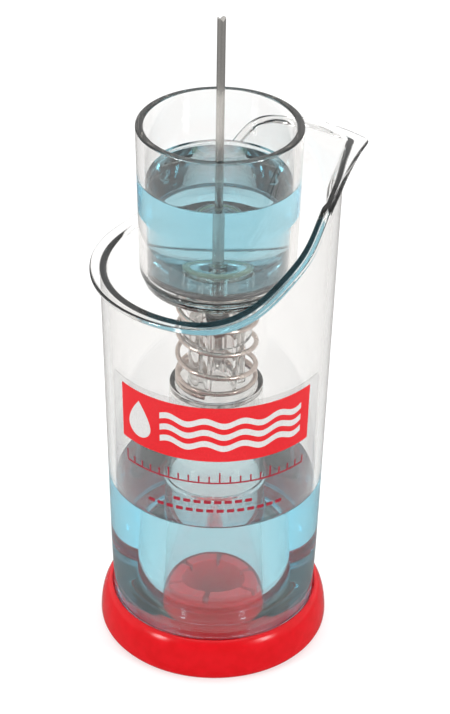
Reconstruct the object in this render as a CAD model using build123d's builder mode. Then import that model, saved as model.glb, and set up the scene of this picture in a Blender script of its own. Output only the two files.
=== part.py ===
from build123d import *
from math import asin, cos, radians, sin, tan
import os

os.makedirs("parts", exist_ok=True)

# Fuel sampler cup: a press-down sampling cup that stands on a spring inside its own catch can.
# Millimetres, +Z up, origin on the table under the can's axis, pour spout along +X.

# ---- driving dimensions ----
foot_height = 17.8                 # table to the top edge of the foot, where the can wall appears
foot_radius = 46.3
foot_widest_height = 3.8
foot_shell = 2.6
foot_gap = 0.25                    # between the foot's crown and the can wall
foot_bore = 12.2
foot_hub_top = 27.2
foot_hub_radius = 17.1
foot_slot_count = 6
foot_slot_width = 1.8
foot_slot_depth = 3.2
foot_heel_round = 4.0
foot_hub_land = 3.5                # plain length of the hub above its grip ribs
foot_rib_ease = 0.2                # the upper rib is this much smaller than the lower
foot_rib_length = 1.0
foot_rib_slope = 0.5               # height over which the hub widens to a rib
foot_rib_gap = 1.4
rib_clearance = 0.3                # between the hub's ribs and the hollow column

can_radius = 41.4                  # outside of the can wall at foot_height
can_wall = 2.7
can_draft = 1.5                    # degrees, each side
can_floor_top = 15.3
can_floor = 2.7
rim_high = 213.0                   # the two humps beside the spout
rim_tip = 211.0                    # rim at the tip of the spout
rim_low = 168.1
lip_overhang = 3.9
lip_thickness = 2.4
spout_wall_reach = 54.7            # axis to the outside corner of the spout wall, at the rim
spout_inner_reach = 51.1
spout_keel_height = 185.0          # where the spout's keel runs out of the wall
lip_tip_reach = 61.3
lip_tip_half_angle = 51.6          # degrees, between the spout's middle and the lip's straight edge

column_top = 116.3                 # ledge that carries the spring
column_top_radius = 18.5
column_wall = 2.0
post_radius = 11.2
post_top = 146.0
post_bore = 6.5
post_cap = 3.0
flute_count = 4
flute_width = 4.0
flute_floor_radius = 8.1

rod_radius = 1.6
rod_top = 271.2
rod_bottom = 138.2
rod_notch = 1.1
press_travel = 10.0
running_gap = 0.05
seat_gap = 0.02                    # between faces that touch without pressing on each other

neck_bottom = 137.9
neck_radius = 13.6
neck_guide_radius = post_radius + running_gap
neck_bore = 9.0
neck_lead = 0.8
neck_shoulder_radius = 16.4
spring_head = 159.4                # underside of the neck's shoulder, where the spring pushes
neck_spigot_radius = 11.5
neck_spigot_top = 167.2

floor_underside = 162.7
floor_top = 171.6
floor_hole = 7.2
tube_bottom = 167.7
tube_top = 228.2
tube_bottom_radius = 30.1
tube_top_radius = 31.6
tube_wall = 3.0
tube_rim_round = 0.8
flange_taper = 1.8
flange_round = 1.0
seal_height = 169.4
seal_section = 2.5
groove_clearance = 0.1

stopper_radius = 9.4
stopper_lift = 0.4                 # stopper clears the floor by this much; the seal fills it
stopper_top = 173.6
stalk_radius = 4.8
stopper_seal_radius = 8.1          # to the middle of its section
stopper_seal_section = 1.2
stopper_round = 0.7
collar_radius = 2.5
collar_height = 1.8

gasket_radius = 4.4
gasket_thickness = 0.8
washer_radius = 4.0
washer_thickness = 0.6
nut_width = 6.0                    # across flats
nut_thickness = 2.4

wire = 2.0
coil_radius = 15.35                # to the middle of the wire
closed_pitch = 2.05
open_pitch = 10.55
closed_turns = 0.9
ramp_turns = 0.85
spring_turns = 6.03
spring_start_angle = 232.5
spring_points_per_turn = 12

label_angle = -111.5               # the label faces this way round from the spout
label_half_angle = 62.0
label_bottom = 76.6
label_top = 133.7
label_thickness = 0.15

everything = 400.0                 # larger than the object, for cutting away whole regions


def can_outer(height):
    """Outside radius of the can wall at a height."""
    return can_radius + (height - foot_height) * tan(radians(can_draft))


def column_outer(height):
    """Outside radius of the hollow centre column at a height; it narrows upward."""
    return column_top_radius + (column_top - height) * tan(radians(can_draft))


def spout_corner(reach, radius):
    """Where a straight line from the spout corner touches the round wall."""
    angle = asin(radius / reach)
    return radius * sin(angle), radius * cos(angle)


# ---- catch can: pitcher wall, floor, centre column and fluted post, moulded in one piece ----
can_bottom = can_floor_top - can_floor
bottom_corner = 4.0
inner_corner = 2.5
column_foot = 3.0
blank_top = rim_high + 5.0         # the wall is made this tall, then cut down to the rim line

# the rim line seen from the side, from the spout down to the low side
rim_curve = [
    (lip_tip_reach + 0.7, rim_tip),
    (41.0, rim_high),
    (30.0, 208.4),
    (20.0, 194.6),
    (10.5, 186.0),
    (-6.4, 173.7),
    (-27.5, rim_low),
]
rim_tip_direction = (-1, 0.38)
underside_shift = (1.5, -lip_thickness)
# the lip's outer edge seen from above, beyond the spout: degrees from the spout, radius
lip_edge = [(52, 48.3), (70, 49.0), (95, 49.6), (130, 49.35), (155, 49.25)]


def rim_region(shift, height):
    """Closed outline between the rim line, seen from the side and shifted, and a level height."""
    curve = [(x + shift[0], z + shift[1]) for x, z in rim_curve]
    half = everything / 2
    corners = [(half, curve[0][1]), (half, height), (-half, height), (-half, curve[-1][1])]
    Polyline(curve[0], *corners, curve[-1])
    Spline(*curve, tangents=[rim_tip_direction, (-1, 0)], tangent_scalars=[1, 1])


def spout(section_height, reach, radius, keel_radius, keel_height):
    """Three-sided wedge that widens upward from the keel to a level triangle."""
    touch_x, touch_y = spout_corner(reach, radius)
    with BuildSketch(Plane.XY.offset(section_height)) as mouth:
        with BuildLine():
            Polyline((touch_x, touch_y), (reach, 0), (touch_x, -touch_y), close=True)
        make_face()
    return mouth.sketch.face(), Vertex(keel_radius - 1, 0, keel_height)


keel_slope = (spout_wall_reach - can_outer(spout_keel_height)) / (rim_tip - spout_keel_height)
blank_reach = spout_wall_reach + keel_slope * (blank_top - rim_tip)
blank_inner_reach = spout_inner_reach + keel_slope * (blank_top - rim_tip)
blank_inner_radius = can_outer(blank_top) - can_wall
inner_keel_height = blank_top - (blank_inner_reach - blank_inner_radius) / keel_slope
lip_straight_reach = lip_tip_reach * sin(radians(lip_tip_half_angle))
lip_straight_end = radians(90 - lip_tip_half_angle)
lip_points = [(radius * cos(radians(angle)), radius * sin(radians(angle))) for angle, radius in lip_edge]
lip_low_reach = can_outer(rim_low) + lip_overhang
underside_margin = 20.0            # the lip's blank starts this far below the low side of the rim

with BuildPart(mode=Mode.PRIVATE) as above_rim:
    with BuildSketch(Plane.XZ):
        with BuildLine():
            rim_region((0, 0), everything)
        make_face()
    extrude(amount=everything / 2, both=True)

with BuildPart(mode=Mode.PRIVATE) as below_lip:
    with BuildSketch(Plane.XZ):
        with BuildLine():
            rim_region(underside_shift, -everything)
        make_face()
    extrude(amount=everything / 2, both=True)

with BuildPart(mode=Mode.PRIVATE) as lip:
    with BuildSketch(Plane.XY.offset(rim_low - underside_margin)):
        with BuildLine():
            straight = Line(
                (lip_tip_reach, 0),
                (
                    lip_straight_reach * cos(lip_straight_end),
                    lip_straight_reach * sin(lip_straight_end),
                ),
            )
            Spline(
                straight @ 1,
                *lip_points,
                (-lip_low_reach, 0),
                tangents=[straight % 1, (0, -1)],
                tangent_scalars=[1, 1],
            )
            mirror(about=Plane.XZ)
        make_face()
    extrude(amount=blank_top - rim_low + underside_margin)
    add(below_lip.part, mode=Mode.SUBTRACT)

with BuildPart() as catch_can:
    # outside of the wall and the spout, with the lip that runs round the rim
    with BuildSketch(Plane.XZ):
        with BuildLine():
            Polyline(
                (0, can_bottom),
                (can_outer(can_bottom) - bottom_corner, can_bottom),
                (can_outer(can_bottom + bottom_corner), can_bottom + bottom_corner),
                (can_outer(blank_top), blank_top),
                (0, blank_top),
                close=True,
            )
        make_face()
    revolve(axis=Axis.Z)
    outer_mouth, outer_keel = spout(
        blank_top, blank_reach, can_outer(blank_top), can_outer(spout_keel_height), spout_keel_height
    )
    loft(sections=[outer_mouth, outer_keel])
    add(lip.part)
    add(above_rim.part, mode=Mode.SUBTRACT)
    # inside of the wall, around the centre column, its ledge and the post that stands on it
    with BuildSketch(Plane.XZ):
        with BuildLine():
            Polyline(
                (0, post_top),
                (post_radius, post_top),
                (post_radius, column_top),
                (column_top_radius, column_top),
                (column_outer(can_floor_top + column_foot), can_floor_top + column_foot),
                (column_outer(can_floor_top) + column_foot, can_floor_top),
                (can_outer(can_floor_top) - can_wall - inner_corner, can_floor_top),
                (can_outer(can_floor_top) - can_wall, can_floor_top + inner_corner),
                (can_outer(everything) - can_wall, everything),
                (0, everything),
                close=True,
            )
        make_face()
    revolve(axis=Axis.Z, mode=Mode.SUBTRACT)
    inner_mouth, inner_keel = spout(
        blank_top, blank_inner_reach, blank_inner_radius, blank_inner_radius, inner_keel_height
    )
    loft(sections=[inner_mouth, inner_keel], mode=Mode.SUBTRACT)
    # hollow underside of column and post
    with BuildSketch(Plane.XZ):
        with BuildLine():
            Polyline(
                (0, 0),
                (column_outer(0) - column_wall, 0),
                (column_outer(column_top) - column_wall, column_top - can_wall),
                (post_bore, column_top - can_wall),
                (post_bore, post_top - post_cap),
                (rod_radius, post_top - post_cap),
                (rod_radius, post_top + post_cap),
                (0, post_top + post_cap),
                close=True,
            )
        make_face()
    revolve(axis=Axis.Z, mode=Mode.SUBTRACT)
    # flutes that let the fuel run down between post and neck
    with BuildSketch(Plane.XY.offset(column_top)):
        with PolarLocations(flute_floor_radius + post_radius / 2, flute_count, start_angle=45):
            Rectangle(post_radius, flute_width)
    extrude(amount=post_top - column_top, mode=Mode.SUBTRACT)
catch_can.part.label = "catch_can"
export_step(catch_can.part, "parts/catch_can.step")


# ---- foot: moulded ring, a web under the can, and a tubular hub that plugs into the centre column ----
crown_radius = can_radius + foot_gap
rib_radius = column_outer(can_floor_top) - column_wall - rib_clearance
upper_rib_radius = rib_radius - foot_rib_ease
heel_radius = foot_radius - foot_heel_round
upper_rib_top = foot_hub_top - foot_hub_land - foot_rib_slope
upper_rib_bottom = upper_rib_top - foot_rib_length
lower_rib_land = upper_rib_bottom - foot_rib_slope - foot_rib_gap

with BuildPart() as foot:
    with BuildSketch(Plane.XZ):
        with BuildLine():
            crown = Spline(
                (crown_radius, foot_height),
                (foot_radius, foot_widest_height),
                tangents=[(1, 0), (0, -1)],
            )
            heel = Spline(crown @ 1, (heel_radius, 0), tangents=[(0, -1), (-1, 0)])
            Polyline(
                heel @ 1,
                (heel_radius - foot_shell, 0),
                (heel_radius - foot_shell, can_bottom - foot_shell),
                (foot_bore + foot_shell, can_bottom - foot_shell),
                (foot_bore + foot_shell, 0),
                (foot_bore, 0),
                (foot_bore, foot_hub_top),
                (foot_hub_radius, foot_hub_top),
                (foot_hub_radius, foot_hub_top - foot_hub_land),
                (upper_rib_radius, upper_rib_top),
                (upper_rib_radius, upper_rib_bottom),
                (foot_hub_radius, upper_rib_bottom - foot_rib_slope),
                (foot_hub_radius, lower_rib_land),
                (rib_radius, lower_rib_land - foot_rib_slope),
                (rib_radius, can_bottom),
                (crown_radius, can_bottom),
                crown @ 0,
            )
        make_face()
    revolve(axis=Axis.Z)
    with BuildSketch(Plane.XY.offset(foot_hub_top)):
        with PolarLocations(foot_hub_radius, foot_slot_count):
            Rectangle(foot_hub_radius, foot_slot_width)
    extrude(amount=-foot_slot_depth, mode=Mode.SUBTRACT)
foot.part.label = "foot"
export_step(foot.part, "parts/foot.step")


# ---- label film wrapped on the can wall ----
with BuildPart() as label_film:
    label_inside = can_outer(label_bottom) + seat_gap
    label_lean = (label_top - label_bottom) * tan(radians(can_draft))
    with BuildSketch(Plane.XZ.rotated((0, 0, label_angle - label_half_angle))):
        with BuildLine():
            Polyline(
                (label_inside, label_bottom),
                (label_inside + label_thickness, label_bottom),
                (label_inside + label_thickness + label_lean, label_top),
                (label_inside + label_lean, label_top),
                close=True,
            )
        make_face()
    revolve(axis=Axis.Z, revolution_arc=2 * label_half_angle)
label_film.part.label = "label_film"
export_step(label_film.part, "parts/label_film.step")


# ---- cup tube: open, slightly flared ----
with BuildPart() as cup_tube:
    with BuildSketch(Plane.XZ):
        with BuildLine():
            Polyline(
                (tube_bottom_radius - tube_wall, tube_bottom),
                (tube_bottom_radius, tube_bottom),
                (tube_top_radius, tube_top),
                (tube_top_radius - tube_wall, tube_top),
                close=True,
            )
        make_face()
    revolve(axis=Axis.Z)
    fillet(cup_tube.edges().group_by(Axis.Z)[-1], radius=tube_rim_round)
cup_tube.part.label = "cup_tube"
export_step(cup_tube.part, "parts/cup_tube.step")


# ---- cup floor: plug with a seal groove, a flange under the tube and a threaded socket below ----
plug_radius = tube_bottom_radius - tube_wall - running_gap
seal_radius = tube_bottom_radius - tube_wall - seal_section / 2 - seat_gap
groove_half = seal_section / 2 + groove_clearance
groove_floor = seal_radius - seal_section / 2 - seat_gap

with BuildPart() as cup_floor:
    with BuildSketch(Plane.XZ):
        with BuildLine():
            Polyline(
                (floor_hole, floor_top),
                (plug_radius, floor_top),
                (plug_radius, seal_height + groove_half),
                (groove_floor, seal_height + groove_half),
                (groove_floor, seal_height - groove_half),
                (plug_radius, seal_height - groove_half),
                (plug_radius, tube_bottom),
                (tube_bottom_radius, tube_bottom),
                (tube_bottom_radius - flange_taper, floor_underside),
                (neck_spigot_radius + seat_gap, floor_underside),
                (neck_spigot_radius + seat_gap, neck_spigot_top),
                (floor_hole, neck_spigot_top),
                close=True,
            )
        make_face()
    revolve(axis=Axis.Z)
    underside_edges = cup_floor.edges().filter_by_position(Axis.Z, floor_underside, floor_underside)
    fillet(underside_edges.sort_by(SortBy.RADIUS)[-1], radius=flange_round)
cup_floor.part.label = "cup_floor"
export_step(cup_floor.part, "parts/cup_floor.step")


# ---- seal ring between the floor and the tube ----
with BuildPart() as floor_seal:
    with BuildSketch(Plane.XZ):
        with Locations((seal_radius, seal_height)):
            Circle(seal_section / 2)
    revolve(axis=Axis.Z)
floor_seal.part.label = "floor_seal"
export_step(floor_seal.part, "parts/floor_seal.step")


# ---- neck: sleeve that slides on the post, drives the spring and carries the cup floor ----
shoulder_stop = post_top + press_travel
thread_pitch = 1.25
thread_depth = 0.35
thread_count = 3

with BuildPart() as neck:
    with BuildSketch(Plane.XZ):
        with BuildLine():
            Polyline(
                (neck_guide_radius, neck_bottom),
                (neck_radius - neck_lead, neck_bottom),
                (neck_radius, neck_bottom + neck_lead),
                (neck_radius, spring_head),
                (neck_shoulder_radius, spring_head),
                (neck_shoulder_radius, floor_underside),
                (neck_spigot_radius, floor_underside),
                (neck_spigot_radius, neck_spigot_top),
                (neck_bore, neck_spigot_top),
                (neck_bore, shoulder_stop),
                (neck_guide_radius, shoulder_stop),
                close=True,
            )
        make_face()
        thread_heights = [floor_underside + thread_pitch * (turn + 0.7) for turn in range(thread_count)]
        with Locations([(neck_spigot_radius, height) for height in thread_heights]):
            RegularPolygon(radius=thread_depth, side_count=3, mode=Mode.SUBTRACT)
    revolve(axis=Axis.Z)
neck.part.label = "neck"
export_step(neck.part, "parts/neck.step")


# ---- spring: close coils at both ends, wound round the neck and standing on the column ledge ----
def pitch_at(turns):
    """Rise per turn: close coils at both ends, open coils between, with even run-ins."""
    from_end = min(turns, spring_turns - turns)
    share = min(max((from_end - closed_turns) / ramp_turns, 0), 1)
    return closed_pitch + share * (open_pitch - closed_pitch)


spring_points = []
wire_height = column_top + wire / 2 + seat_gap
steps = round(spring_turns * spring_points_per_turn)
for step in range(steps + 1):
    turns = step * spring_turns / steps
    angle = radians(spring_start_angle - 360 * turns)
    spring_points.append((coil_radius * cos(angle), coil_radius * sin(angle), wire_height))
    wire_height += pitch_at(turns + spring_turns / steps / 2) * spring_turns / steps

with BuildPart() as spring:
    with BuildLine() as coil:
        Spline(*spring_points)
    with BuildSketch(Plane(origin=coil.line @ 0, z_dir=coil.line % 0)):
        Circle(wire / 2)
    sweep(path=coil.line, is_frenet=True)
spring.part.label = "spring"
export_step(spring.part, "parts/spring.step")


# ---- stopper: disc over the floor hole, on a stalk that stands on the post ----
stopper_bottom = floor_top + stopper_lift

with BuildPart() as stopper:
    with BuildSketch(Plane.XZ):
        with BuildLine():
            Polyline(
                (rod_radius + seat_gap, post_top),
                (stalk_radius, post_top),
                (stalk_radius, stopper_bottom),
                (stopper_radius, stopper_bottom),
                (stopper_radius, stopper_top),
                (rod_radius + seat_gap, stopper_top),
                close=True,
            )
        make_face()
        with Locations((stopper_seal_radius, floor_top + stopper_seal_section / 2 + seat_gap)):
            Circle(stopper_seal_section / 2 + seat_gap, mode=Mode.SUBTRACT)
    revolve(axis=Axis.Z)
    top_edges = stopper.edges().filter_by_position(Axis.Z, stopper_top, stopper_top)
    fillet(top_edges.sort_by(SortBy.RADIUS)[-1], radius=stopper_round)
stopper.part.label = "stopper"
export_step(stopper.part, "parts/stopper.step")

with BuildPart() as stopper_seal:
    with BuildSketch(Plane.XZ):
        with Locations((stopper_seal_radius, floor_top + stopper_seal_section / 2 + seat_gap)):
            Circle(stopper_seal_section / 2)
    revolve(axis=Axis.Z)
stopper_seal.part.label = "stopper_seal"
export_step(stopper_seal.part, "parts/stopper_seal.step")


# ---- probe rod, with its collar above the stopper and its fastening inside the hollow post ----
with BuildPart() as probe_rod:
    with BuildSketch(Plane.XY.offset(rod_bottom)):
        Circle(rod_radius)
    extrude(amount=rod_top - rod_bottom)
    with BuildSketch(Plane.XZ):
        with BuildLine():
            Polyline(
                (-rod_notch, rod_top + seat_gap),
                (rod_notch, rod_top + seat_gap),
                (0, rod_top - rod_notch),
                close=True,
            )
        make_face()
    extrude(amount=2 * rod_radius, both=True, mode=Mode.SUBTRACT)
probe_rod.part.label = "probe_rod"
export_step(probe_rod.part, "parts/probe_rod.step")


def ring(name, outer, bore, bottom, thickness):
    """Plain flat ring that the rod passes through."""
    with BuildPart() as piece:
        with BuildSketch(Plane.XY.offset(bottom)):
            Circle(outer)
            Circle(bore, mode=Mode.SUBTRACT)
        extrude(amount=thickness)
    piece.part.label = name
    export_step(piece.part, f"parts/{name}.step")


gasket_bottom = post_top - post_cap - gasket_thickness
washer_bottom = gasket_bottom - washer_thickness
nut_bottom = washer_bottom - nut_thickness
rod_clear = rod_radius + seat_gap
ring("rod_collar", collar_radius, rod_clear, stopper_top, collar_height)
ring("rod_gasket", gasket_radius, rod_clear, gasket_bottom, gasket_thickness)
ring("rod_washer", washer_radius, rod_clear, washer_bottom, washer_thickness)

with BuildPart() as rod_nut:
    with BuildSketch(Plane.XY.offset(nut_bottom)):
        RegularPolygon(radius=nut_width / 2, side_count=6, major_radius=False)
        Circle(rod_clear, mode=Mode.SUBTRACT)
    extrude(amount=nut_thickness)
rod_nut.part.label = "rod_nut"
export_step(rod_nut.part, "parts/rod_nut.step")
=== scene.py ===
import math

import bmesh
import bpy
import numpy as np
from mathutils import Matrix, Vector


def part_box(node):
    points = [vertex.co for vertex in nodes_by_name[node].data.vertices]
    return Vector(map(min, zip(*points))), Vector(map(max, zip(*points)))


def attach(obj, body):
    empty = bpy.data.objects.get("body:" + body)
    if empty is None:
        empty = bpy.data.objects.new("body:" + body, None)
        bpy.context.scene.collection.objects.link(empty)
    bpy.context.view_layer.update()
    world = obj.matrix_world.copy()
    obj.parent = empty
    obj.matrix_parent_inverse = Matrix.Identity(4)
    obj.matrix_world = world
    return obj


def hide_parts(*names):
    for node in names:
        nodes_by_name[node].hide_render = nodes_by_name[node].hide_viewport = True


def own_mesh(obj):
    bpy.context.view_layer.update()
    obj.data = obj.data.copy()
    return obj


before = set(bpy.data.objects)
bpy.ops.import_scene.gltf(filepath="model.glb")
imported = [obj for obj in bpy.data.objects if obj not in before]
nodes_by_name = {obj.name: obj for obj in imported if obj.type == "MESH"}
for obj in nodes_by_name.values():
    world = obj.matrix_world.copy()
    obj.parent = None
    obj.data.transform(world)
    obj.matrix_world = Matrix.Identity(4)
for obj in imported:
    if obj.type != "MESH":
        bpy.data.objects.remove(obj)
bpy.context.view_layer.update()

MM = 0.001
TAU = 2 * math.pi
MERGE_DISTANCE = 1e-7
DEGENERATE_LENGTH = 1e-8
NEARLY_STRAIGHT = math.radians(88)     # half the angle at a corner too flat to round
CORNER_SHARE = 0.45                    # most of an edge that one rounded corner may use


# ---------------------------------------------------------------- geometry helpers
def mesh_object(name, vertices, faces, body):
    """Mesh in millimetres that rides on a CAD body, smooth, with normals that keep flat stretches flat."""
    mesh = bpy.data.meshes.new(name)
    mesh.from_pydata([(x * MM, y * MM, z * MM) for x, y, z in vertices], [], faces)
    edit = bmesh.new()
    edit.from_mesh(mesh)
    bmesh.ops.remove_doubles(edit, verts=edit.verts, dist=MERGE_DISTANCE)
    bmesh.ops.dissolve_degenerate(edit, edges=edit.edges, dist=DEGENERATE_LENGTH)
    bmesh.ops.recalc_face_normals(edit, faces=edit.faces)
    edit.to_mesh(mesh)
    edit.free()
    mesh.polygons.foreach_set("use_smooth", [True] * len(mesh.polygons))
    normals = np.zeros((len(mesh.vertices), 3))
    for polygon in mesh.polygons:
        weighted = np.array(polygon.normal) * polygon.area ** 2
        for index in polygon.vertices:
            normals[index] += weighted
    lengths = np.linalg.norm(normals, axis=1)
    lengths[lengths == 0] = 1
    mesh.normals_split_custom_set_from_vertices((normals / lengths[:, None]).tolist())
    piece = bpy.data.objects.new(name, mesh)
    bpy.context.scene.collection.objects.link(piece)
    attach(piece, body)
    return piece


def rounded(points, radius, steps=5, closed=True):
    """Polygon outline with its corners rounded; a point may carry its own radius as a third value."""
    count = len(points)
    outline = []
    for index, point in enumerate(points):
        here = np.array(point[:2], float)
        size = point[2] if len(point) > 2 else radius
        if size == 0 or (not closed and index in (0, count - 1)):
            outline.append(tuple(here))
            continue
        before = np.array(points[index - 1][:2], float) - here
        after = np.array(points[(index + 1) % count][:2], float) - here
        reach_before, reach_after = np.linalg.norm(before), np.linalg.norm(after)
        before, after = before / reach_before, after / reach_after
        half = math.acos(float(np.clip(before @ after, -1, 1))) / 2
        if half > NEARLY_STRAIGHT:
            outline.append(tuple(here))
            continue
        back = min(size / math.tan(half), CORNER_SHARE * reach_before, CORNER_SHARE * reach_after)
        size = back * math.tan(half)
        middle = (before + after) / np.linalg.norm(before + after)
        centre = here + middle * size / math.sin(half)
        start = here + before * back - centre
        finish = here + after * back - centre
        turn = math.acos(float(np.clip(start @ finish / size**2, -1, 1)))
        for step in range(steps + 1):
            share = step / steps
            mix = (math.sin((1 - share) * turn) * start + math.sin(share * turn) * finish) / math.sin(turn)
            outline.append(tuple(centre + mix))
    return outline


def grid_faces(columns, rows, wrap_columns=True, wrap_rows=True):
    faces = []
    for i in range(columns if wrap_columns else columns - 1):
        j = (i + 1) % columns
        for k in range(rows if wrap_rows else rows - 1):
            m = (k + 1) % rows
            faces.append((i * rows + k, i * rows + m, j * rows + m, j * rows + k))
    return faces


def lathe(name, outline, body, segments=160):
    """Closed outline of (radius, height) turned round the object's axis."""
    vertices = []
    for i in range(segments):
        angle = TAU * i / segments
        vertices += [(r * math.cos(angle), r * math.sin(angle), z) for r, z in outline]
    return mesh_object(name, vertices, grid_faces(segments, len(outline)), body)


# ---------------------------------------------------------------- sizes, from the frame
def low(node, axis=2):
    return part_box(node)[0][axis] / MM


def high(node, axis=2):
    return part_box(node)[1][axis] / MM


DRAFT = math.tan(math.radians(1.5))
CAN_BOTTOM = low("catch_can")
RIM_HIGH = high("catch_can")
FOOT_HEIGHT = 17.8
CAN_RADIUS = 41.4
CAN_WALL = 2.7
CAN_FLOOR_TOP = CAN_BOTTOM + CAN_WALL
LIP_THICKNESS = 2.4
LIP_OVERHANG = 3.9
LIP_TIP = 61.3
LIP_HALF_ANGLE = math.radians(51.6)
LIP_EDGE = [(52, 48.3), (70, 49.0), (95, 49.6), (130, 49.35), (155, 49.25)]
RIM_TIP = 211.0
RIM_LOW = 168.1
RIM_LINE = [
    (62.0, RIM_TIP),
    (41.0, 213.0),
    (30.0, 208.4),
    (20.0, 194.6),
    (10.5, 186.0),
    (-6.4, 173.7),
    (-27.5, RIM_LOW),
]
RIM_TIP_DIRECTION = (-1, 0.38)
UNDERSIDE_SHIFT = 1.5
SPOUT_REACH = 54.7
SPOUT_INNER_REACH = 51.1
KEEL_HEIGHT = 185.0
KEEL_MARGIN = 6.0                      # the wall is plain until this far below the keel
KEEL_ROUNDING = math.radians(1.2)
LIP_TIP_ROUNDING = math.radians(0.9)
SPOUT_HALF_ANGLE = math.radians(50)    # beyond this angle from the spout the wall is plain
SPOUT_BLEND = 1.2
COLUMN_TOP = 116.3
COLUMN_RADIUS = 18.5
COLUMN_WALL = 2.0
POST_RADIUS = 11.2
POST_TOP = 146.0
POST_BORE = 6.5
POST_CAP = 3.0
FLUTE_RADIUS = 8.1
FLUTE_WIDTH = 4.0
FLUTE_SOFTNESS = 0.6
WALL_START = 40                        # below this height the wall has no extra levels
WALL_LEVELS = 30
UNDER_LIP = 0.8                        # last level outside is this far below the lip
BELOW_RIM = 4                          # last level inside is this far below the rim
CROWDING_OUTSIDE, CROWDING_INSIDE = 1.6, 0.7
ROD_RADIUS = high("probe_rod", 0)
FLOOR_TOP = high("cup_floor")
CAN_LEVEL = 72.4
CUP_LEVEL = 205.8
OVERLAP = 0.06


def cone(height):
    return CAN_RADIUS + (height - FOOT_HEIGHT) * DRAFT


def column_radius(height):
    return COLUMN_RADIUS + (COLUMN_TOP - height) * DRAFT


# ---------------------------------------------------------------- catch can
def smooth_line(points, start, finish, samples=60):
    """Cubic through the points, spaced by distance, with the given directions at its two ends."""
    points = np.array(points, float)
    gaps = np.linalg.norm(np.diff(points, axis=0), axis=1)
    count = len(points)
    matrix, wanted = np.zeros((count, count)), np.zeros((count, 2))
    matrix[0, 0] = matrix[-1, -1] = 1
    wanted[0] = np.array(start) / np.linalg.norm(start)
    wanted[-1] = np.array(finish) / np.linalg.norm(finish)
    for i in range(1, count - 1):
        before, after = gaps[i - 1], gaps[i]
        matrix[i, i - 1 : i + 2] = after, 2 * (before + after), before
        rise_before = (points[i] - points[i - 1]) / before
        rise_after = (points[i + 1] - points[i]) / after
        wanted[i] = 3 * (after * rise_before + before * rise_after)
    slopes = np.linalg.solve(matrix, wanted)
    line = []
    for i in range(count - 1):
        for t in np.arange(samples) / samples:
            line.append(
                (2 * t**3 - 3 * t**2 + 1) * points[i]
                + (t**3 - 2 * t**2 + t) * gaps[i] * slopes[i]
                + (3 * t**2 - 2 * t**3) * points[i + 1]
                + (t**3 - t**2) * gaps[i] * slopes[i + 1]
            )
    return np.array(line + [points[-1]])


RIM = smooth_line(RIM_LINE, RIM_TIP_DIRECTION, (-1, 0))[::-1]


def rim_height(x):
    """Height of the rim where the side view's coordinate is x."""
    return float(np.interp(x, RIM[:, 0], RIM[:, 1]))


STRAIGHT_REACH = LIP_TIP * math.sin(LIP_HALF_ANGLE)
STRAIGHT_END = math.pi / 2 - LIP_HALF_ANGLE
lip_points = [(STRAIGHT_REACH, STRAIGHT_END)] + [(r, math.radians(a)) for a, r in LIP_EDGE]
lip_points.append((cone(RIM_LOW) + LIP_OVERHANG, math.pi))
LIP_LINE = smooth_line(
    [(r * math.cos(a), r * math.sin(a)) for r, a in lip_points],
    (-math.sin(STRAIGHT_END), math.cos(STRAIGHT_END)),
    (0, -1),
)
LIP_ANGLES = np.arctan2(LIP_LINE[:, 1], LIP_LINE[:, 0])
LIP_RADII = np.linalg.norm(LIP_LINE, axis=1)


def soft_max(a, b, blend):
    """Larger of two lengths, rounded off where they are nearly equal."""
    h = min(max(0.5 + 0.5 * (a - b) / blend, 0), 1)
    return a * h + b * (1 - h) + blend * h * (1 - h)


def wedge_radius(angle, height, reach, radius, keel_radius, keel_height):
    """Radius at which a radial line meets the spout's flat side, or 0 where it never does."""
    touch = math.asin(radius / reach)
    corner = np.array([reach, 0.0, RIM_TIP])
    side = np.array([radius * math.sin(touch), radius * math.cos(touch), RIM_TIP])
    keel = np.array([keel_radius, 0.0, keel_height])
    normal = np.cross(side - corner, keel - corner)
    along = math.sqrt(math.sin(angle) ** 2 + KEEL_ROUNDING**2)
    toward = normal[0] * math.cos(angle) + normal[1] * along
    distance = normal @ corner - normal[2] * height
    return distance / toward if toward * distance > 0 else 0.0


def wall_outside(angle, height):
    plain = cone(height)
    if height < KEEL_HEIGHT - KEEL_MARGIN or abs(angle) > SPOUT_HALF_ANGLE:
        return plain
    flat = wedge_radius(angle, height, SPOUT_REACH, cone(RIM_TIP), cone(KEEL_HEIGHT) - 1, KEEL_HEIGHT)
    return soft_max(flat, plain, SPOUT_BLEND)


KEEL_SLOPE = (SPOUT_REACH - cone(KEEL_HEIGHT)) / (RIM_TIP - KEEL_HEIGHT)
INNER_KEEL = RIM_TIP - (SPOUT_INNER_REACH - (cone(RIM_TIP) - CAN_WALL)) / KEEL_SLOPE


def wall_inside(angle, height):
    plain = cone(height) - CAN_WALL
    if height < INNER_KEEL - KEEL_MARGIN or abs(angle) > SPOUT_HALF_ANGLE:
        return plain
    radius = cone(RIM_TIP) - CAN_WALL
    flat = wedge_radius(angle, height, SPOUT_INNER_REACH, radius, radius - 1, INNER_KEEL)
    return soft_max(flat, plain, SPOUT_BLEND)


def lip_outside(angle, height):
    """Outer edge of the lip seen from above: straight beside the spout, then round."""
    turn = abs(angle)
    if turn > STRAIGHT_END:
        return float(np.interp(turn, LIP_ANGLES, LIP_RADII))
    return STRAIGHT_REACH / math.cos(math.sqrt(turn**2 + LIP_TIP_ROUNDING**2) - STRAIGHT_END)


def settle(radius_at, angle, drop=0.0, shift=0.0):
    """Height where a wall surface meets the rim line, found by repeated substitution."""
    height = RIM_HIGH
    for _ in range(12):
        height = rim_height(radius_at(angle, height) * math.cos(angle) - shift) - drop
    return height


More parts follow.
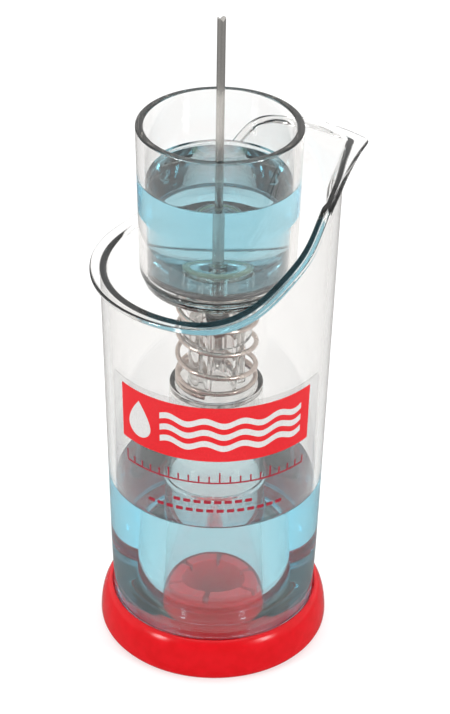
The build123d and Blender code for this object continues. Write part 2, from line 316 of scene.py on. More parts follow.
def can_column(angle):
    """Closed outline of the can at one angle, from the outside of the bottom round and back."""
    top_out = settle(lip_outside, angle)
    top_in = settle(wall_inside, angle)
    under = settle(wall_outside, angle, LIP_THICKNESS, UNDERSIDE_SHIFT)
    under_edge = settle(lip_outside, angle, LIP_THICKNESS, UNDERSIDE_SHIFT)
    lip = lip_outside(angle, top_out)
    points = rounded(
        [
            (column_radius(CAN_BOTTOM) - COLUMN_WALL, CAN_BOTTOM, 0.3),
            (cone(CAN_BOTTOM) - 0.4, CAN_BOTTOM, 3.4),
            (cone(WALL_START), WALL_START, 0),
        ],
        0.3,
        closed=False,
    )
    for level in range(1, WALL_LEVELS):
        share = level / WALL_LEVELS
        rise = 1 - (1 - share) ** CROWDING_OUTSIDE
        height = WALL_START + (under - UNDER_LIP - WALL_START) * rise
        points.append((wall_outside(angle, height), height))
    points += rounded(
        [
            (wall_outside(angle, under - UNDER_LIP), under - UNDER_LIP, 0),
            (wall_outside(angle, under), under, 0.7),
            (lip, under_edge, 1.0),
            (lip, top_out, 1.3),
            (wall_inside(angle, top_in), top_in, 1.5),
            (wall_inside(angle, top_in - BELOW_RIM), top_in - BELOW_RIM, 0),
        ],
        0.5,
        steps=6,
        closed=False,
    )
    for level in range(1, WALL_LEVELS):
        share = level / WALL_LEVELS
        fall = 1 - (1 - share) ** CROWDING_INSIDE
        height = (top_in - BELOW_RIM) - (top_in - BELOW_RIM - WALL_START) * fall
        points.append((wall_inside(angle, height), height))
    nearest = (math.degrees(angle) - 45) % 90
    offset = math.sin(math.radians(min(nearest, 90 - nearest))) * POST_RADIUS
    flute = 1 / (1 + math.exp((offset - FLUTE_WIDTH / 2) / FLUTE_SOFTNESS))
    post = POST_RADIUS + (FLUTE_RADIUS - POST_RADIUS) * flute
    points += rounded(
        [
            (cone(WALL_START) - CAN_WALL, WALL_START, 0),
            (cone(CAN_FLOOR_TOP) - CAN_WALL, CAN_FLOOR_TOP, 3.0),
            (column_radius(CAN_FLOOR_TOP), CAN_FLOOR_TOP, 3.2),
            (COLUMN_RADIUS, COLUMN_TOP, 0.6),
            (post, COLUMN_TOP, 0.5),
            (post, POST_TOP, 0.4),
            (ROD_RADIUS, POST_TOP, 0.15),
            (ROD_RADIUS, POST_TOP - POST_CAP, 0.15),
            (POST_BORE, POST_TOP - POST_CAP, 0.3),
            (POST_BORE, COLUMN_TOP - CAN_WALL, 0.5),
            (COLUMN_RADIUS - COLUMN_WALL, COLUMN_TOP - CAN_WALL, 1.0),
            (column_radius(CAN_BOTTOM) - COLUMN_WALL, CAN_BOTTOM, 0.3),
        ],
        0.3,
        steps=4,
        closed=False,
    )[:-1]
    return points


def can_angles():
    """Even spacing all round, with more columns across the spout's corner."""
    even = list(np.radians(np.arange(-180, 180, 1.5)))
    fine = list(np.radians([-0.9, -0.5, -0.2, 0.2, 0.5, 0.9, 2.2, -2.2]))
    return sorted(even + fine)


def build_can():
    angles = can_angles()
    columns = [can_column(angle) for angle in angles]
    vertices = []
    for angle, column in zip(angles, columns):
        vertices += [(r * math.cos(angle), r * math.sin(angle), z) for r, z in column]
    return mesh_object("catch_can_body", vertices, grid_faces(len(angles), len(columns[0])), "can")


can = build_can()
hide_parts("catch_can")

# ---------------------------------------------------------------- foot
FOOT_WIDEST = 3.8
FOOT_GAP = 0.25
FOOT_HEEL = 4.0
FOOT_SHELL = 2.6
FOOT_BORE = 12.2
FOOT_WEB_GAP = 0.03
HUB_RADIUS = 17.1
HUB_MIDDLE = 15.0                      # radius at which a slot's width is measured
RIB_CLEARANCE = 0.3
RIB_EASE = 0.2
UPPER_RIB = (3.6, 4.1, 4.9, 5.4)       # depths below the hub's top
LOWER_RIB = (6.9, 7.4)
SLOT_COUNT, SLOT_WIDTH, SLOT_DEPTH = 6, 1.8, 3.2
SLOT_SOFTNESS = 0.06
SLOT_PITCH = 360 / SLOT_COUNT
SLOT_EDGE_STEPS = (-0.6, -0.2, 0.2, 0.6)
CROWN_STEPS, HEEL_STEPS = 18, 6

foot_radius = high("foot", 0)
crown = CAN_RADIUS + FOOT_GAP
foot_rings = []
for step in range(CROWN_STEPS + 1):
    turn = math.pi / 2 * step / CROWN_STEPS
    radius = crown + (foot_radius - crown) * math.sin(turn)
    foot_rings.append((radius, FOOT_WIDEST + (FOOT_HEIGHT - FOOT_WIDEST) * math.cos(turn)))
for step in range(1, HEEL_STEPS + 1):
    turn = math.pi / 2 * step / HEEL_STEPS
    radius = foot_radius - FOOT_HEEL + FOOT_HEEL * math.cos(turn)
    foot_rings.append((radius, FOOT_WIDEST * (1 - math.sin(turn))))
hub_top = high("foot")
rib = column_radius(CAN_FLOOR_TOP) - COLUMN_WALL - RIB_CLEARANCE


def foot_column(angle):
    """Outline of the foot at one angle; the hub's top dips where one of its slots is."""
    nearest = math.degrees(angle) % SLOT_PITCH
    offset = math.sin(math.radians(min(nearest, SLOT_PITCH - nearest))) * HUB_MIDDLE
    slot = 1 / (1 + math.exp((offset - SLOT_WIDTH / 2) / SLOT_SOFTNESS))
    brim = hub_top - SLOT_DEPTH * slot
    inner = rounded(
        [
            foot_rings[-1] + (0,),
            (foot_radius - FOOT_HEEL - FOOT_SHELL, 0, 0.6),
            (foot_radius - FOOT_HEEL - FOOT_SHELL, CAN_BOTTOM - FOOT_SHELL, 1.2),
            (FOOT_BORE + FOOT_SHELL, CAN_BOTTOM - FOOT_SHELL, 1.0),
            (FOOT_BORE + FOOT_SHELL, 0, 0.5),
            (FOOT_BORE, 0, 0.5),
            (FOOT_BORE, brim, 0.5),
            (HUB_RADIUS, brim, 0.5),
            (HUB_RADIUS, hub_top - UPPER_RIB[0], 0.4),
            (rib - RIB_EASE, hub_top - UPPER_RIB[1], 0.25),
            (rib - RIB_EASE, hub_top - UPPER_RIB[2], 0.25),
            (HUB_RADIUS, hub_top - UPPER_RIB[3], 0.4),
            (HUB_RADIUS, hub_top - LOWER_RIB[0], 0.4),
            (rib, hub_top - LOWER_RIB[1], 0.25),
            (rib, CAN_BOTTOM - FOOT_WEB_GAP, 0.2),
            (crown, CAN_BOTTOM - FOOT_WEB_GAP, 0.2),
            foot_rings[0] + (0,),
        ],
        0.3,
        steps=4,
        closed=False,
    )
    return foot_rings[:-1] + inner[:-1]


def foot_angles():
    """Even spacing, with closer columns at the edges of each slot.

    The first slot starts below 0 degrees, so between about 356 and 358 the columns lie over each other.
    """
    edge = math.degrees(math.asin(SLOT_WIDTH / 2 / HUB_MIDDLE))
    angles = list(np.arange(0, 360, 2.0))
    for slot in range(SLOT_COUNT):
        middle = SLOT_PITCH * slot
        for step in SLOT_EDGE_STEPS:
            angles += [middle - edge + step, middle + edge - step]
    return [math.radians(angle) for angle in sorted(angles)]


def build_foot():
    angles = foot_angles()
    columns = [foot_column(angle) for angle in angles]
    vertices = []
    for angle, column in zip(angles, columns):
        vertices += [(r * math.cos(angle), r * math.sin(angle), z) for r, z in column]
    return mesh_object("foot_body", vertices, grid_faces(len(angles), len(columns[0])), "can")


foot = build_foot()
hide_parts("foot")

# ---------------------------------------------------------------- cup
TUBE_WALL = 3.0
FLOOR_HOLE = 7.2
PLUG_GAP = 0.05
SEAT_GAP = 0.02
GROOVE_CLEARANCE = 0.1
FLANGE_TAPER = 1.8
SPIGOT_RADIUS = 11.5
RING_SIDES = 20

tube_bottom = low("cup_tube")
tube_top = high("cup_tube")
tube_outer_low = high("cup_floor", 0)
tube_outer_high = high("cup_tube", 0)
tube_flare = tube_outer_high - tube_outer_low
tube = lathe(
    "cup_tube_body",
    rounded(
        [
            (tube_outer_low - TUBE_WALL, tube_bottom, 0.3),
            (tube_outer_low, tube_bottom, 0.3),
            (tube_outer_high, tube_top, 0.8),
            (tube_outer_high - TUBE_WALL, tube_top, 0.8),
        ],
        0.3,
    ),
    "cup",
)
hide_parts("cup_tube")

floor_under = low("cup_floor")
plug = tube_outer_low - TUBE_WALL - PLUG_GAP
seal_height = (low("floor_seal") + high("floor_seal")) / 2
seal_half = (high("floor_seal") - low("floor_seal")) / 2
seal_radius = high("floor_seal", 0) - seal_half
groove = seal_radius - seal_half - SEAT_GAP
groove_top = seal_height + seal_half + GROOVE_CLEARANCE
groove_bottom = seal_height - seal_half - GROOVE_CLEARANCE
spigot_top = high("neck")
cup_floor = lathe(
    "cup_floor_body",
    rounded(
        [
            (FLOOR_HOLE, FLOOR_TOP, 0.8),
            (plug, FLOOR_TOP, 0.5),
            (plug, groove_top, 0.2),
            (groove, groove_top, 0.2),
            (groove, groove_bottom, 0.2),
            (plug, groove_bottom, 0.2),
            (plug, tube_bottom, 0.15),
            (tube_outer_low, tube_bottom, 0.6),
            (tube_outer_low - FLANGE_TAPER, floor_under, 1.2),
            (SPIGOT_RADIUS + SEAT_GAP, floor_under, 0.4),
            (SPIGOT_RADIUS + SEAT_GAP, spigot_top, 0.3),
            (FLOOR_HOLE, spigot_top, 0.3),
        ],
        0.3,
    ),
    "cup",
)
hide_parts("cup_floor")

seal_turns = [TAU * k / RING_SIDES for k in range(RING_SIDES)]
floor_seal = lathe(
    "floor_seal_ring",
    [(seal_radius + seal_half * math.cos(t), seal_height + seal_half * math.sin(t)) for t in seal_turns],
    "cup",
)
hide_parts("floor_seal")

NECK_RADIUS = 13.6
NECK_BORE = 9.0
GUIDE_GAP = 0.05
SPRING_HEAD = 159.4
PRESS_TRAVEL = 10.0
STOP_CLEARANCE = 0.1                   # leaves the neck's shoulder just clear of the post
THREAD_PITCH, THREAD_DEPTH, THREAD_COUNT = 1.25, 0.35, 3
FIRST_THREAD = 0.7                     # in turns above the cup floor's underside
neck_bottom = low("neck")
neck_outline = [
    (POST_RADIUS + GUIDE_GAP, neck_bottom, 0.3),
    (NECK_RADIUS, neck_bottom, 0.8),
    (NECK_RADIUS, SPRING_HEAD, 0.5),
    (high("neck", 0), SPRING_HEAD, 0.5),
    (high("neck", 0), floor_under, 0.3),
    (SPIGOT_RADIUS, floor_under, 0.2),
]
for turn in range(THREAD_COUNT):
    thread = floor_under + THREAD_PITCH * (turn + FIRST_THREAD)
    neck_outline += [
        (SPIGOT_RADIUS, thread - THREAD_DEPTH, 0.05),
        (SPIGOT_RADIUS - THREAD_DEPTH, thread, 0.05),
        (SPIGOT_RADIUS, thread + THREAD_DEPTH, 0.05),
    ]
shoulder = POST_TOP + PRESS_TRAVEL + STOP_CLEARANCE
neck_outline += [
    (SPIGOT_RADIUS, spigot_top, 0.3),
    (NECK_BORE, spigot_top, 0.3),
    (NECK_BORE, shoulder, 0.4),
    (POST_RADIUS + GUIDE_GAP, shoulder, 0.3),
]
neck = lathe("neck_sleeve", rounded(neck_outline, 0.3), "cup")
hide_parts("neck")

STALK_RADIUS = 4.8
STOPPER_LIFT = 0.4
stopper_top = high("stopper")
stopper_bottom = FLOOR_TOP + STOPPER_LIFT
stopper = lathe(
    "stopper_disc",
    rounded(
        [
            (ROD_RADIUS + SEAT_GAP, POST_TOP, 0.1),
            (STALK_RADIUS, POST_TOP, 0.3),
            (STALK_RADIUS, stopper_bottom, 0.5),
            (high("stopper", 0), stopper_bottom, 0.3),
            (high("stopper", 0), stopper_top, 0.8),
            (ROD_RADIUS + SEAT_GAP, stopper_top, 0.1),
        ],
        0.3,
    ),
    "can",
)
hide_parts("stopper")

# ---------------------------------------------------------------- spring
WIRE = 1.0
COIL_RADIUS = 15.35
CLOSED_PITCH, OPEN_PITCH = 2.05, 10.55
CLOSED_TURNS, RAMP_TURNS, SPRING_TURNS = 0.9, 0.85, 6.03
SPRING_START = math.radians(232.5)
WIRE_END_EASE = 0.15                   # the wire's cut ends are this much smaller
WIRE_END_LENGTH = 0.12


def wire_rings(step, last):
    """Where the wire's rings stand along it, and their radii; both ends have a small bevel."""
    if step == 0:
        return ((0.0, WIRE - WIRE_END_EASE), (WIRE_END_LENGTH, WIRE))
    if step == last:
        return ((-WIRE_END_LENGTH, WIRE), (0.0, WIRE - WIRE_END_EASE))
    return ((0.0, WIRE),)


def build_spring(steps_per_turn=72, sides=14):
    """Left-hand coil with close turns at both ends, as tall as the CAD spring."""
    steps = round(SPRING_TURNS * steps_per_turn)
    centres, height = [], low("spring") + WIRE
    for step in range(steps + 1):
        turns = step * SPRING_TURNS / steps
        from_end = min(turns, SPRING_TURNS - turns)
        share = min(max((from_end - CLOSED_TURNS) / RAMP_TURNS, 0), 1)
        angle = SPRING_START - TAU * turns
        centres.append(np.array([COIL_RADIUS * math.cos(angle), COIL_RADIUS * math.sin(angle), height]))
        height += (CLOSED_PITCH + share * (OPEN_PITCH - CLOSED_PITCH)) * SPRING_TURNS / steps
    scale = (high("spring") - WIRE - centres[0][2]) / (centres[-1][2] - centres[0][2])
    for centre in centres:
        centre[2] = centres[0][2] + (centre[2] - centres[0][2]) * scale
    vertices = []
    for i, centre in enumerate(centres):
        along = centres[min(i + 1, steps)] - centres[max(i - 1, 0)]
        along /= np.linalg.norm(along)
        outward = np.array([centre[0], centre[1], 0]) / COIL_RADIUS
        across = np.cross(along, outward)
        across /= np.linalg.norm(across)
        outward = np.cross(across, along)
        for inset, radius in wire_rings(i, steps):
            for k in range(sides):
                turn = TAU * k / sides
                spoke = math.cos(turn) * outward + math.sin(turn) * across
                vertices.append(tuple(centre + inset * along + radius * spoke))
    rings = len(vertices) // sides
    faces = grid_faces(rings, sides, wrap_columns=False)
    faces.append(tuple(range(sides)))
    faces.append(tuple(range((rings - 1) * sides, rings * sides)))
    return mesh_object("spring_coil", vertices, faces, "can")


spring = build_spring()
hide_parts("spring")
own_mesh(spring)

# ---------------------------------------------------------------- label
LABEL_ANGLE = math.radians(-111.5)
LABEL_HALF_ANGLE = 62.0
LABEL_GAP = 0.02
LABEL_THICKNESS = 0.12
PRINT_THICKNESS = 0.02
ARC = 43.0                             # can radius by which distances round the label are measured


def wrap(name, columns, offset, thickness):
    """Thin patch on the can wall; each column is (distance round the wall, low, high)."""
    vertices, faces = [], []
    for across, bottom, top in columns:
        angle = LABEL_ANGLE + across / ARC
        for height in (bottom, top):
            for depth in (offset, offset + thickness):
                radius = cone(height) + depth
                vertices.append((radius * math.cos(angle), radius * math.sin(angle), height))
    for i in range(len(columns) - 1):
        a, b = 4 * i, 4 * i + 4
        faces += [(a, a + 2, b + 2, b), (a + 1, b + 1, b + 3, a + 3)]
        faces += [(a, b, b + 1, a + 1), (a + 2, a + 3, b + 3, b + 2)]
    end = 4 * (len(columns) - 1)
    faces += [(0, 1, 3, 2), (end, end + 2, end + 3, end + 1)]
    return mesh_object(name, vertices, faces, "can")


def panel(left, right, bottom, top, corner=0.0, steps=60):
    """Columns of a rectangle with rounded corners."""
    columns = []
    positions = list(np.linspace(left, right, steps + 1))
    if corner:
        bend = [corner * (1 - math.cos(math.pi / 2 * k / 6)) for k in range(1, 6)]
        positions += [left + x for x in bend] + [right - x for x in bend]
        positions += [left + corner, right - corner]
    for across in sorted(positions):
        edge = min(across - left, right - across)
        cut = corner - math.sqrt(max(corner**2 - (corner - edge) ** 2, 0)) if edge < corner else 0.0
        columns.append((across, bottom + cut, top - cut))
    return columns


def drop(centre, bottom, radius, height):
    """Columns of a drop: round below, pointed above."""
    columns = []
    for k in range(25):
        share = -math.cos(math.pi * k / 24)
        across = share * radius
        round_part = math.sqrt(max(radius**2 - across**2, 0))
        top = bottom + radius + (height - radius) * (1 - abs(share)) ** 0.62
        columns.append((centre + across, bottom + radius - round_part, max(top, bottom + radius + 0.01)))
    return columns


def wave(left, right, height, swing, length, thickness):
    """Columns of a band that rises and falls."""
    columns = []
    for across in np.linspace(left, right, 91):
        middle = height + swing * math.sin(TAU * (across - left) / length)
        columns.append((across, middle - thickness / 2, middle + thickness / 2))
    return columns


FILM_CORNER = 2.0
LAYER_GAP = 0.005
BLOCK_REACH, BLOCK_LOW, BLOCK_HIGH, BLOCK_CORNER = 40.4, 106.4, 131.2, 0.6
DROP_CENTRE, DROP_LOW, DROP_RADIUS, DROP_HEIGHT = -31.0, 110.2, 5.4, 16.6
WAVE_HEIGHTS = (113.6, 118.8, 124.0)
WAVE_LEFT, WAVE_RIGHT = -21.5, 35.5
WAVE_SWING, WAVE_LENGTH, WAVE_THICKNESS = 1.1, 14.25, 2.7
SCALE_REACH, SCALE_LOW, SCALE_HIGH = 38.0, 95.8, 96.5
TICK_COUNT, TICK_PITCH, TICK_HALF_WIDTH = 20, 4.0, 0.3
TICK_LONG, TICK_SHORT, TICKS_PER_LONG = 4.6, 2.8, 5
DASH_ROWS = (("upper", 16.0, 86.2), ("lower", 27.0, 82.0))
DASH_PITCH, DASH_LENGTH, DASH_HEIGHT, DASH_CORNER = 4.0, 2.8, 1.5, 0.3

label_low, label_high = low("label_film"), high("label_film")
label_reach = math.radians(LABEL_HALF_ANGLE) * ARC
film_columns = panel(-label_reach, label_reach, label_low, label_high, FILM_CORNER, 90)
film = wrap("label_film_sheet", film_columns, LABEL_GAP, LABEL_THICKNESS)
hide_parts("label_film")
PRINT = LABEL_GAP + LABEL_THICKNESS + LAYER_GAP
MARK = PRINT + PRINT_THICKNESS + LAYER_GAP
block_columns = panel(-BLOCK_REACH, BLOCK_REACH, BLOCK_LOW, BLOCK_HIGH, BLOCK_CORNER, 80)
label_block = wrap("label_block", block_columns, PRINT, PRINT_THICKNESS)
drop_columns = drop(DROP_CENTRE, DROP_LOW, DROP_RADIUS, DROP_HEIGHT)
label_marks = [wrap("label_drop", drop_columns, MARK, PRINT_THICKNESS)]
for row, height in enumerate(WAVE_HEIGHTS):
    columns = wave(WAVE_LEFT, WAVE_RIGHT, height, WAVE_SWING, WAVE_LENGTH, WAVE_THICKNESS)
    label_marks.append(wrap(f"label_wave_{row + 1}", columns, MARK, PRINT_THICKNESS))
base_columns = panel(-SCALE_REACH, SCALE_REACH, SCALE_LOW, SCALE_HIGH)
label_lines = [wrap("label_scale_base", base_columns, PRINT, PRINT_THICKNESS)]
for tick in range(TICK_COUNT):
    across = -SCALE_REACH + TICK_PITCH * tick
    reach = TICK_LONG if tick % TICKS_PER_LONG == 0 else TICK_SHORT
    left, right = across - TICK_HALF_WIDTH, across + TICK_HALF_WIDTH
    columns = panel(left, right, SCALE_HIGH, SCALE_HIGH + reach, 0, 2)
    label_lines.append(wrap(f"label_scale_tick_{tick + 1}", columns, PRINT, PRINT_THICKNESS))
for name, reach, height in DASH_ROWS:
    for dash in range(round(2 * reach / DASH_PITCH)):
        across = -reach + DASH_PITCH * dash
        columns = panel(across, across + DASH_LENGTH, height, height + DASH_HEIGHT, DASH_CORNER, 4)
        label_lines.append(wrap(f"label_dash_{name}_{dash + 1}", columns, PRINT, PRINT_THICKNESS))

# ---------------------------------------------------------------- fuel in cup and can
MENISCUS = 1.2                         # height that the liquid climbs the outer wall
MENISCUS_REACH = 1.4
ROD_OVERLAP = 0.1


def tube_inside(height):
    """Inside radius of the cup tube at a height."""
    return tube_outer_low - TUBE_WALL + (height - tube_bottom) / (tube_top - tube_bottom) * tube_flare


cup_fuel = lathe(
    "cup_fuel",
    rounded(
        [
            (ROD_RADIUS - ROD_OVERLAP, FLOOR_TOP - OVERLAP, 0),
            (plug + OVERLAP, FLOOR_TOP - OVERLAP, 0),
            (tube_inside(CUP_LEVEL + MENISCUS) + OVERLAP, CUP_LEVEL + MENISCUS, 0),
            (tube_inside(CUP_LEVEL) - MENISCUS_REACH, CUP_LEVEL, 2.0),
            (ROD_RADIUS + 1.0, CUP_LEVEL, 1.0),
            (ROD_RADIUS - ROD_OVERLAP, CUP_LEVEL + 0.9, 0),
        ],
        0.3,
    ),
    "cup",
)
can_fuel = lathe(
    "can_fuel",
    rounded(
        [
            (column_radius(CAN_FLOOR_TOP) - OVERLAP, CAN_FLOOR_TOP - OVERLAP, 3.2),
            (cone(CAN_FLOOR_TOP) - CAN_WALL + OVERLAP, CAN_FLOOR_TOP - OVERLAP, 3.0),
            (cone(CAN_LEVEL + MENISCUS) - CAN_WALL + OVERLAP, CAN_LEVEL + MENISCUS, 0),
            (cone(CAN_LEVEL) - CAN_WALL - MENISCUS_REACH, CAN_LEVEL, 2.0),
            (column_radius(CAN_LEVEL) + 1.2, CAN_LEVEL, 1.5),
            (column_radius(CAN_LEVEL) - OVERLAP, CAN_LEVEL + 1.1, 0),
        ],
        0.3,
    ),
    "can",
)


# ---------------------------------------------------------------- materials
def new_material(name):
    material = bpy.data.materials.new(name)
    material.use_nodes = True
    return material, material.node_tree.nodes, material.node_tree.links


def link_bump(nodes, links, shader, scale, strength, distance, stretch=(1, 1, 1)):
    """Fine relief from stretched noise in object space."""
    coords = nodes.new("ShaderNodeTexCoord")
    mapping = nodes.new("ShaderNodeMapping")
    mapping.inputs["Scale"].default_value = stretch
    noise = nodes.new("ShaderNodeTexNoise")
    noise.inputs["Scale"].default_value = scale
    noise.inputs["Detail"].default_value = 3
    bump = nodes.new("ShaderNodeBump")
    bump.inputs["Strength"].default_value = strength
    bump.inputs["Distance"].default_value = distance
    links.new(coords.outputs["Object"], mapping.inputs["Vector"])
    links.new(mapping.outputs["Vector"], noise.inputs["Vector"])
    links.new(noise.outputs["Fac"], bump.inputs["Height"])
    links.new(bump.outputs["Normal"], shader.inputs["Normal"])
    return noise


def link_variation(nodes, links, shader, socket, noise, values):
    """Drives a socket between two values or colours with a noise pattern."""
    ramp = nodes.new("ShaderNodeValToRGB")
    ramp.color_ramp.elements[0].position = 0.35
    ramp.color_ramp.elements[1].position = 0.65
    for element, value in zip(ramp.color_ramp.elements, values):
        element.color = (*value, 1) if isinstance(value, tuple) else (value, value, value, 1)
    links.new(noise.outputs["Fac"], ramp.inputs["Fac"])
    links.new(ramp.outputs["Color"], shader.inputs[socket])


def clear(name, ior, tint, absorb, density, wave=0.0):
    """Clear plastic or liquid that lets lamp light through to what is behind it."""
    material, nodes, links = new_material(name)
    nodes.remove(nodes["Principled BSDF"])
    shader = nodes.new("ShaderNodeBsdfGlass")
    shader.inputs["Color"].default_value = (*tint, 1)
    shader.inputs["Roughness"].default_value = 0
    shader.inputs["IOR"].default_value = ior
    if wave:
        link_bump(nodes, links, shader, scale=45, strength=wave, distance=0.0004)
    output = nodes["Material Output"]
    through = nodes.new("ShaderNodeBsdfTransparent")
    through.inputs["Color"].default_value = (*tint, 1)
    path = nodes.new("ShaderNodeLightPath")
    mix = nodes.new("ShaderNodeMixShader")
    links.new(path.outputs["Is Shadow Ray"], mix.inputs["Fac"])
    links.new(shader.outputs["BSDF"], mix.inputs[1])
    links.new(through.outputs["BSDF"], mix.inputs[2])
    links.new(mix.outputs["Shader"], output.inputs["Surface"])
    volume = nodes.new("ShaderNodeVolumeAbsorption")
    volume.inputs["Color"].default_value = (*absorb, 1)
    volume.inputs["Density"].default_value = density
    links.new(volume.outputs["Volume"], output.inputs["Volume"])
    return material


def printed(name, dark, light, solid):
    """Ink on the label film: fine grain, and a little of what is behind shows through."""
    material, nodes, links = new_material(name)
    shader = nodes["Principled BSDF"]
    shader.inputs["Alpha"].default_value = solid
    shader.inputs["Specular IOR Level"].default_value = 0.3
    noise = link_bump(nodes, links, shader, scale=1500, strength=0.05, distance=0.0001)
    link_variation(nodes, links, shader, "Base Color", noise, [dark, light])
    link_variation(nodes, links, shader, "Roughness", noise, [0.4, 0.5])
    return material


def gloss_red():
    material, nodes, links = new_material("red_gloss_plastic")
    shader = nodes["Principled BSDF"]
    shader.inputs["Specular IOR Level"].default_value = 0.3
    noise = link_bump(nodes, links, shader, scale=220, strength=0.08, distance=0.0003)
    link_variation(nodes, links, shader, "Base Color", noise, [(0.56, 0.0, 0.003), (0.62, 0.0, 0.005)])
    link_variation(nodes, links, shader, "Roughness", noise, [0.17, 0.22])
    return material


def rubber(name, dark, light):
    material, nodes, links = new_material(name)
    shader = nodes["Principled BSDF"]
    noise = link_bump(nodes, links, shader, scale=900, strength=0.2, distance=0.0002)
    link_variation(nodes, links, shader, "Base Color", noise, [dark, light])
    link_variation(nodes, links, shader, "Roughness", noise, [0.35, 0.5])
    return material


def steel(name, dark, light, rough, stretch):
    material, nodes, links = new_material(name)
    shader = nodes["Principled BSDF"]
    shader.inputs["Metallic"].default_value = 1
    noise = link_bump(nodes, links, shader, scale=160, strength=0.03, distance=0.0002, stretch=stretch)
    link_variation(nodes, links, shader, "Base Color", noise, [dark, light])
    link_variation(nodes, links, shader, "Roughness", noise, [rough, rough + 0.1])
    return material


plastic = clear(
    "clear_polycarbonate",
    ior=1.57,
    tint=(0.975, 0.972, 0.968),
    absorb=(0.5, 0.48, 0.45),
    density=26.0,
    wave=0.015,
)
film_plastic = clear(
    "label_film_plastic",
    ior=1.45,
    tint=(0.93, 0.93, 0.93),
    absorb=(0.5, 0.5, 0.5),
    density=10.0,
    wave=0.02,
)
fuel = clear(
    "blue_fuel",
    ior=1.34,
    tint=(1, 1, 1),
    absorb=(0.135, 0.81, 0.965),
    density=20.0,
    wave=0.004,
)
red = gloss_red()
black = rubber("black_seal_rubber", (0.008, 0.008, 0.009), (0.016, 0.016, 0.017))
amber = rubber("amber_seal_rubber", (0.50, 0.42, 0.28), (0.60, 0.52, 0.36))
amber_shader = amber.node_tree.nodes["Principled BSDF"]
amber_shader.inputs["Transmission Weight"].default_value = 0.85
amber_shader.inputs["IOR"].default_value = 1.38
rod_steel = steel(
    "polished_rod_steel",
    dark=(0.44, 0.42, 0.40),
    light=(0.56, 0.54, 0.51),
    rough=0.16,
    stretch=(1, 1, 0.05),
)
spring_steel = steel(
    "drawn_spring_steel",
    dark=(0.50, 0.42, 0.38),
    light=(0.62, 0.54, 0.49),
    rough=0.18,
    stretch=(1, 1, 1),
)
ink_red = printed("label_red_ink", (0.66, 0.005, 0.010), (0.74, 0.008, 0.016), 0.9)
ink_pale = printed("label_pale_ink", (0.60, 0.59, 0.58), (0.68, 0.67, 0.66), 0.9)
ink_dark = printed("label_dark_red_ink", (0.30, 0.006, 0.02), (0.38, 0.01, 0.03), 0.92)


def assign(piece, material):
    piece.data.materials.clear()
    piece.data.materials.append(material)


for piece in (can, tube, cup_floor, neck, stopper):
    assign(piece, plastic)
for piece in (cup_fuel, can_fuel):
    assign(piece, fuel)
assign(film, film_plastic)
assign(spring, spring_steel)
assign(label_block, ink_red)
for piece in label_marks:
    assign(piece, ink_pale)
for piece in label_lines:
    assign(piece, ink_dark)
assign(foot, red)
assign(floor_seal, black)
for name, material in {
    "probe_rod": rod_steel,
    "rod_collar": rod_steel,
    "rod_washer": rod_steel,
    "rod_nut": rod_steel,
    "rod_gasket": black,
    "stopper_seal": amber,
}.items():
    assign(nodes_by_name[name], material)


# ---------------------------------------------------------------- stage, lights, camera
def stage_floor():
    """Pale floor that glows a little, and is darker where the object mirrors it."""
    size = 8.0
    mesh = bpy.data.meshes.new("studio_floor")
    corners = [(-size, -size, 0), (size, -size, 0), (size, size, 0), (-size, size, 0)]
    mesh.from_pydata(corners, [], [(0, 1, 2, 3)])
    floor = bpy.data.objects.new("studio_floor", mesh)
    bpy.context.scene.collection.objects.link(floor)
    material, nodes, links = new_material("pale_floor")
    shader = nodes["Principled BSDF"]
    shader.inputs["Base Color"].default_value = (0.45, 0.45, 0.45, 1)
    shader.inputs["Roughness"].default_value = 1.0
    shader.inputs["Specular IOR Level"].default_value = 0.0
    shader.inputs["Emission Color"].default_value = (1, 1, 1, 1)
    shader.inputs["Emission Strength"].default_value = 0.56
    mesh.materials.append(material)
    dim = nodes.new("ShaderNodeBsdfDiffuse")
    dim.inputs["Color"].default_value = (0.25, 0.25, 0.25, 1)
    path = nodes.new("ShaderNodeLightPath")
    mix = nodes.new("ShaderNodeMixShader")
    both = nodes.new("ShaderNodeMath")
    both.operation = "MULTIPLY"
    links.new(path.outputs["Is Glossy Ray"], both.inputs[0])
    links.new(path.outputs["Is Reflection Ray"], both.inputs[1])
    links.new(both.outputs["Value"], mix.inputs["Fac"])
    links.new(shader.outputs["BSDF"], mix.inputs[1])
    links.new(dim.outputs["BSDF"], mix.inputs[2])
    links.new(mix.outputs["Shader"], nodes["Material Output"].inputs["Surface"])


stage_floor()

PHOTO_TURN = math.radians(-21.5)
UNIT = CAN_RADIUS * MM                 # the camera's place is given in can radii
IMAGE_HEIGHT = 714
SENSOR_HEIGHT = 36.0
FOCAL_LENGTH = 2515.0 / IMAGE_HEIGHT   # in image heights
distance, elevation, roll = 23.8, math.radians(32.59), 0.0169
shift_x, shift_z = 0.0785, 2.612
forward = Vector((0, math.cos(elevation), -math.sin(elevation)))
right = Vector((1, 0, 0))
up = Vector((0, math.sin(elevation), math.cos(elevation)))
camera_right = math.cos(roll) * right + math.sin(roll) * up
camera_up = -math.sin(roll) * right + math.cos(roll) * up
place = Vector((shift_x, -distance * math.cos(elevation), shift_z + distance * math.sin(elevation))) * UNIT
place.z += FOOT_HEIGHT * MM
turn = Matrix.Rotation(PHOTO_TURN, 4, "Z")
pose = Matrix(
    (
        (camera_right.x, camera_up.x, -forward.x, place.x),
        (camera_right.y, camera_up.y, -forward.y, place.y),
        (camera_right.z, camera_up.z, -forward.z, place.z),
        (0, 0, 0, 1),
    )
)
camera_data = bpy.data.cameras.new("photo_camera")
camera_data.sensor_fit = "VERTICAL"
camera_data.sensor_height = SENSOR_HEIGHT
camera_data.lens = FOCAL_LENGTH * SENSOR_HEIGHT
camera = bpy.data.objects.new("photo_camera", camera_data)
bpy.context.scene.collection.objects.link(camera)
camera.matrix_world = turn @ pose
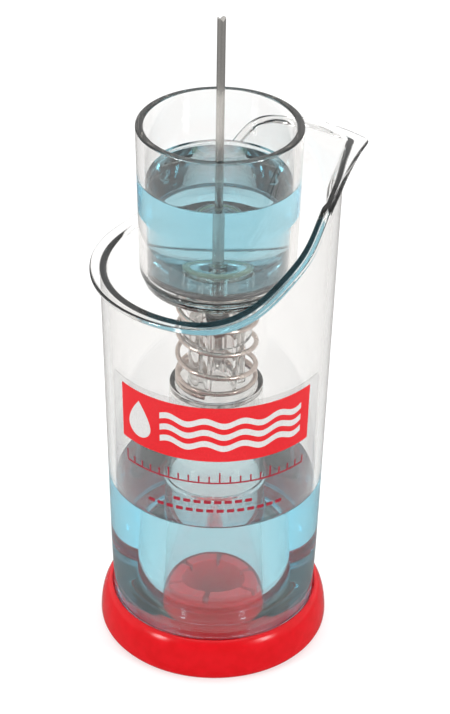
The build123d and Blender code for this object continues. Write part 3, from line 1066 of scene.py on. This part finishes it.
bpy.context.scene.camera = camera


AIM_HEIGHT = 0.12


def softbox(name, position, size, power):
    """Rectangular lamp aimed at the middle of the object; the position turns with the camera."""
    data = bpy.data.lights.new(name, "AREA")
    data.shape = "RECTANGLE"
    data.size, data.size_y = size
    data.energy = power
    lamp = bpy.data.objects.new(name, data)
    bpy.context.scene.collection.objects.link(lamp)
    lamp.location = turn @ Vector(position)
    target = Vector((0, 0, AIM_HEIGHT))
    lamp.rotation_euler = (target - lamp.location).to_track_quat("-Z", "Y").to_euler()


softbox("left_softbox", (-0.75, -0.55, 0.45), (0.16, 0.36), 4.4)
softbox("right_softbox", (0.75, -0.55, 0.45), (0.16, 0.36), 4.4)
softbox("top_softbox", (0.0, 0.25, 1.2), (0.8, 0.8), 5.0)

world = bpy.data.worlds.new("studio")
world.use_nodes = True
world_nodes, world_links = world.node_tree.nodes, world.node_tree.links
direction = world_nodes.new("ShaderNodeTexCoord")
facing = world_nodes.new("ShaderNodeVectorMath")
facing.operation = "DOT_PRODUCT"
facing.inputs[1].default_value = (-math.sin(PHOTO_TURN), math.cos(PHOTO_TURN), 0.25)
ramp = world_nodes.new("ShaderNodeValToRGB")
ramp.color_ramp.elements[0].position = 0.275
ramp.color_ramp.elements[0].color = (0.45, 0.45, 0.455, 1)
ramp.color_ramp.elements[1].position = 0.5
ramp.color_ramp.elements[1].color = (1, 1, 1, 1)
world_links.new(direction.outputs["Generated"], facing.inputs[0])
halved = world_nodes.new("ShaderNodeMath")
halved.operation = "MULTIPLY_ADD"
halved.inputs[1].default_value = 0.5
halved.inputs[2].default_value = 0.5
world_links.new(facing.outputs["Value"], halved.inputs[0])
world_links.new(halved.outputs["Value"], ramp.inputs["Fac"])
world_links.new(ramp.outputs["Color"], world_nodes["Background"].inputs["Color"])
world_nodes["Background"].inputs["Strength"].default_value = 1.0
bpy.context.scene.world = world
bpy.context.scene.view_settings.view_transform = "Standard"
bpy.context.scene.cycles.max_bounces = 32
bpy.context.scene.cycles.transmission_bounces = 32
bpy.context.scene.cycles.glossy_bounces = 16
bpy.context.scene.cycles.transparent_max_bounces = 32
